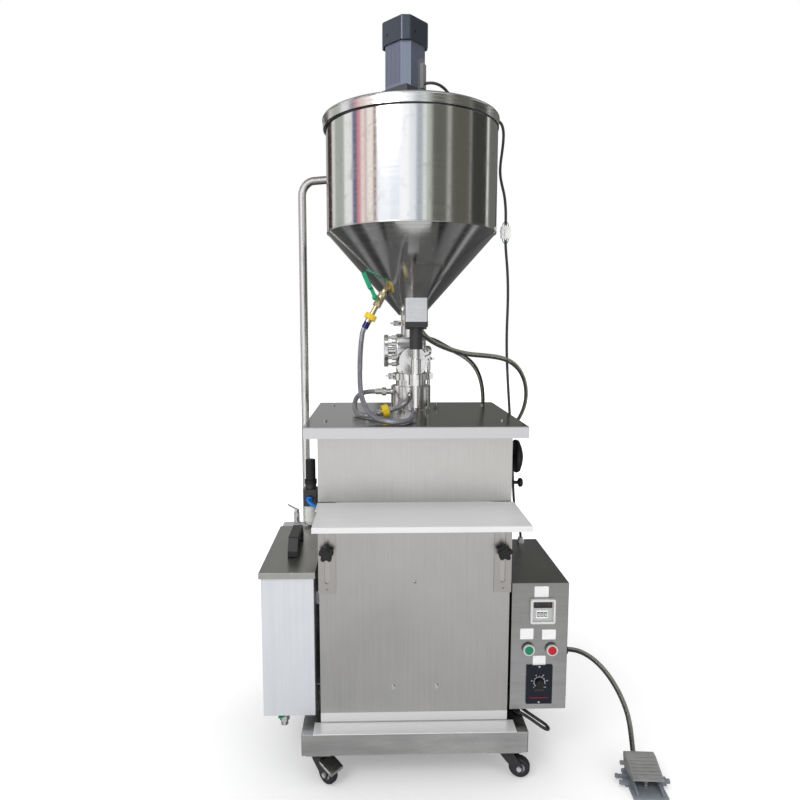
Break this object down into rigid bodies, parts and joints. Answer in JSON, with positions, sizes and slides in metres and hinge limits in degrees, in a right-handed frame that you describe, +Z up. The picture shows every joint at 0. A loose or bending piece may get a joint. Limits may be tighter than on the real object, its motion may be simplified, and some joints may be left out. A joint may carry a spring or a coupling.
{
  "type": "hot filling machine",
  "caption": "Heated piston filling machine: jacketed hopper with agitator over a rotary valve and product cylinder on a castor cabinet, with hot water tank, control box and foot pedal.",
  "frame": {"origin": "middle of the machine's footprint on the floor (mains lead, coil and plug left out)", "axes": "+Z up, +X to the operator's right, -Y towards the operator"},
  "size_m": [0.965, 0.7504, 1.85],
  "materials": {
    "satin_steel": "brushed stainless sheet",
    "bright_steel": "polished stainless steel",
    "turned_steel": "fine turned stainless steel",
    "tray_steel": "brushed stainless sheet",
    "zinc": "bright zinc plating",
    "black_plastic": "moulded black plastic",
    "tyre": "black rubber tread",
    "motor_paint": "dark blue-grey enamel",
    "braid": "braided stainless wire",
    "brass": "turned brass with yellow plastic nuts",
    "green_grip": "dipped green sleeve",
    "anodised": "clear anodised",
    "regulator": "white and black mouldings with a clear bowl",
    "box_steel": "brushed stainless sheet",
    "instrument": "dark mouldings with clear and chromed parts",
    "green_cap": "translucent green",
    "red_cap": "translucent red",
    "pedal_grey": "grey enamel",
    "pedal_base_blue": "blue-grey enamel",
    "air_tube": "black and olive nylon tube",
    "cable": "black sheath",
    "spring_steel": "spring wire"
  },
  "bodies": {
    "machine": {"base_tray": "tray_steel", "cabinet_shell": "satin_steel", "top_plate": "satin_steel", "fasteners": "zinc", "material_cylinder": "bright_steel", "valve_body": "bright_steel", "tri_clamps": "turned_steel", "nozzle_body": "turned_steel", "nozzle_actuator": "anodised", "hopper": "bright_steel", "hopper_lid": "bright_steel", "gearmotor": "motor_paint", "drive_cylinder": "anodised", "jacket_valve_and_fittings": "brass", "tank_body": "satin_steel", "tank_pipework": "turned_steel", "air_filter_regulator": "regulator", "control_box": "box_steel", "panel_instruments": "instrument", "pedal_base": "pedal_base_blue", "pedal_spring": "spring_steel", "braided_hose_inlet": "braid", "braided_hose_outlet": "braid", "braided_hose_nozzle": "braid", "air_tubes_nozzle": "air_tube", "air_tubes_valve": "air_tube", "motor_cable": "cable", "pedal_air_tubes": "air_tube", "power_cord": "cable", "power_cord_coil": "cable", "power_plug": "black_plastic"},
    "shelf": {"shelf": "satin_steel"},
    "star_knob_left": {"star_knob_left": "black_plastic"},
    "star_knob_right": {"star_knob_right": "black_plastic"},
    "piston": {"piston": "turned_steel"},
    "valve_rotor": {"valve_rotor": "turned_steel"},
    "valve_push_rod": {"valve_push_rod": "turned_steel"},
    "nozzle_needle": {"nozzle_needle": "turned_steel"},
    "agitator": {"agitator": "turned_steel"},
    "lid_hatch": {"lid_hatch": "bright_steel"},
    "jacket_valve_lever": {"jacket_valve_lever": "green_grip"},
    "tank_lid": {"tank_lid": "satin_steel"},
    "tank_drain_lever": {"tank_drain_lever": "green_grip"},
    "tank_cock_lever": {"tank_cock_lever": "bright_steel"},
    "regulator_knob": {"regulator_knob": "black_plastic"},
    "stroke_handwheel": {"stroke_handwheel": "turned_steel"},
    "stroke_lock_knob": {"stroke_lock_knob": "black_plastic"},
    "green_button": {"green_button": "green_cap"},
    "red_button": {"red_button": "red_cap"},
    "speed_knob": {"speed_knob": "black_plastic"},
    "pedal_cover": {"pedal_cover": "pedal_grey"},
    "castor_brake": {"castor_brake_front_left": "zinc"},
    "castor_front_left": {"castor_fork_front_left": "black_plastic"},
    "wheel_front_left": {"castor_wheel_front_left": "tyre"},
    "castor_front_right": {"castor_fork_front_right": "black_plastic"},
    "wheel_front_right": {"castor_wheel_front_right": "tyre"},
    "castor_rear_left": {"castor_fork_rear_left": "black_plastic"},
    "wheel_rear_left": {"castor_wheel_rear_left": "tyre"},
    "castor_rear_right": {"castor_fork_rear_right": "black_plastic"},
    "wheel_rear_right": {"castor_wheel_rear_right": "tyre"}
  },
  "joints": [
    {"name": "castor_swivel_front_left", "type": "hinge", "parent": "machine", "child": "castor_front_left", "pos_m": [-0.34503, -0.1805, 0.06], "axis": [0, 0, 1], "continuous": true},
    {"name": "wheel_spin_front_left", "type": "hinge", "parent": "castor_front_left", "child": "wheel_front_left", "pos_m": [-0.32239, -0.20018, 0.025], "axis": [0.6561, 0.7547, 0], "continuous": true},
    {"name": "castor_swivel_front_right", "type": "hinge", "parent": "machine", "child": "castor_front_right", "pos_m": [0.10797, -0.1805, 0.06], "axis": [0, 0, 1], "continuous": true},
    {"name": "wheel_spin_front_right", "type": "hinge", "parent": "castor_front_right", "child": "wheel_front_right", "pos_m": [0.13681, -0.18877, 0.025], "axis": [0.2756, 0.9613, 0], "continuous": true},
    {"name": "castor_swivel_rear_left", "type": "hinge", "parent": "machine", "child": "castor_rear_left", "pos_m": [-0.34003, 0.2475, 0.06], "axis": [0, 0, 1], "continuous": true},
    {"name": "wheel_spin_rear_left", "type": "hinge", "parent": "castor_rear_left", "child": "wheel_rear_left", "pos_m": [-0.35412, 0.27399, 0.025], "axis": [-0.8829, -0.4695, 0], "continuous": true},
    {"name": "castor_swivel_rear_right", "type": "hinge", "parent": "machine", "child": "castor_rear_right", "pos_m": [0.10797, 0.2475, 0.06], "axis": [0, 0, 1], "continuous": true},
    {"name": "wheel_spin_rear_right", "type": "hinge", "parent": "castor_rear_right", "child": "wheel_rear_right", "pos_m": [0.12205, 0.27399, 0.025], "axis": [-0.8829, 0.4695, 0], "continuous": true},
    {"name": "castor_brake_pedal", "type": "hinge", "parent": "castor_front_left", "child": "castor_brake", "pos_m": [-0.33447, -0.18968, 0.057], "axis": [0.6561, 0.7547, 0], "range_deg": [-12, 4]},
    {"name": "shelf_height", "type": "slide", "parent": "machine", "child": "shelf", "axis": [0, 0, 1], "range_m": [-0.055, 0.07]},
    {"name": "star_knob_left_turn", "type": "hinge", "parent": "machine", "child": "star_knob_left", "pos_m": [-0.32203, -0.1865, 0.556], "axis": [0, 1, 0], "continuous": true},
    {"name": "star_knob_right_turn", "type": "hinge", "parent": "machine", "child": "star_knob_right", "pos_m": [0.09147, -0.1865, 0.556], "axis": [0, 1, 0], "continuous": true},
    {"name": "piston_stroke", "type": "slide", "parent": "machine", "child": "piston", "axis": [0, 0, 1], "range_m": [-0.15, 0]},
    {"name": "valve_turn", "type": "hinge", "parent": "machine", "child": "valve_rotor", "pos_m": [-0.11103, 0.1235, 1.012], "axis": [1, 0, 0], "range_deg": [-42, 42]},
    {"name": "valve_rod_lift", "type": "slide", "parent": "machine", "child": "valve_push_rod", "axis": [0, 0, 1], "range_m": [-0.037, 0.037]},
    {"name": "needle_lift", "type": "slide", "parent": "machine", "child": "nozzle_needle", "axis": [0, 0, 1], "range_m": [0, 0.012], "stiffness_N_per_m": 800, "springref_m": -0.005},
    {"name": "agitator_turn", "type": "hinge", "parent": "machine", "child": "agitator", "pos_m": [-0.11103, 0.1235, 1.4], "axis": [0, 0, 1], "continuous": true},
    {"name": "hatch_open", "type": "hinge", "parent": "machine", "child": "lid_hatch", "pos_m": [-0.11103, 0.2015, 1.614], "axis": [1, 0, 0], "range_deg": [0, 85]},
    {"name": "jacket_valve_turn", "type": "hinge", "parent": "machine", "child": "jacket_valve_lever", "pos_m": [-0.20745, 0.04842, 1.1521], "axis": [-0.4501, -0.8703, 0.2001], "range_deg": [0, 90]},
    {"name": "tank_lid_off", "type": "slide", "parent": "machine", "child": "tank_lid", "axis": [0, -1, 0], "range_m": [0, 0.36]},
    {"name": "tank_drain_turn", "type": "hinge", "parent": "machine", "child": "tank_drain_lever", "pos_m": [-0.43803, -0.1245, 0.126], "axis": [0, 1, 0], "range_deg": [0, 90]},
    {"name": "tank_cock_turn", "type": "hinge", "parent": "machine", "child": "tank_cock_lever", "pos_m": [-0.43803, 0.2015, 0.544], "axis": [0, 0, 1], "range_deg": [0, 90]},
    {"name": "regulator_turn", "type": "hinge", "parent": "machine", "child": "regulator_knob", "pos_m": [-0.37303, -0.0165, 0.7], "axis": [0, 0, 1], "range_deg": [-360, 360]},
    {"name": "handwheel_turn", "type": "hinge", "parent": "machine", "child": "stroke_handwheel", "pos_m": [0.13397, -0.1045, 0.767], "axis": [1, 0, 0], "continuous": true},
    {"name": "lock_knob_turn", "type": "hinge", "parent": "machine", "child": "stroke_lock_knob", "pos_m": [0.13397, -0.1045, 0.702], "axis": [1, 0, 0], "range_deg": [-90, 90]},
    {"name": "green_button_press", "type": "slide", "parent": "machine", "child": "green_button", "axis": [0, 1, 0], "range_m": [0, 0.003], "stiffness_N_per_m": 400, "springref_m": -0.001},
    {"name": "red_button_press", "type": "slide", "parent": "machine", "child": "red_button", "axis": [0, 1, 0], "range_m": [0, 0.003], "stiffness_N_per_m": 400, "springref_m": -0.001},
    {"name": "speed_turn", "type": "hinge", "parent": "machine", "child": "speed_knob", "pos_m": [0.18647, -0.1665, 0.224], "axis": [0, 1, 0], "range_deg": [-135, 135]},
    {"name": "pedal_press", "type": "hinge", "parent": "machine", "child": "pedal_cover", "pos_m": [0.42673, -0.19542, 0.031], "axis": [0.9976, -0.0698, 0], "range_deg": [0, 8.5], "stiffness_Nm_per_rad": 4, "springref_deg": -5.73, "deforming": ["pedal_spring"]}
  ],
  "couplings": [
    {"joint": "valve_rod_lift", "follows": "valve_turn", "m_per_rad": 0.0483}
  ]
}
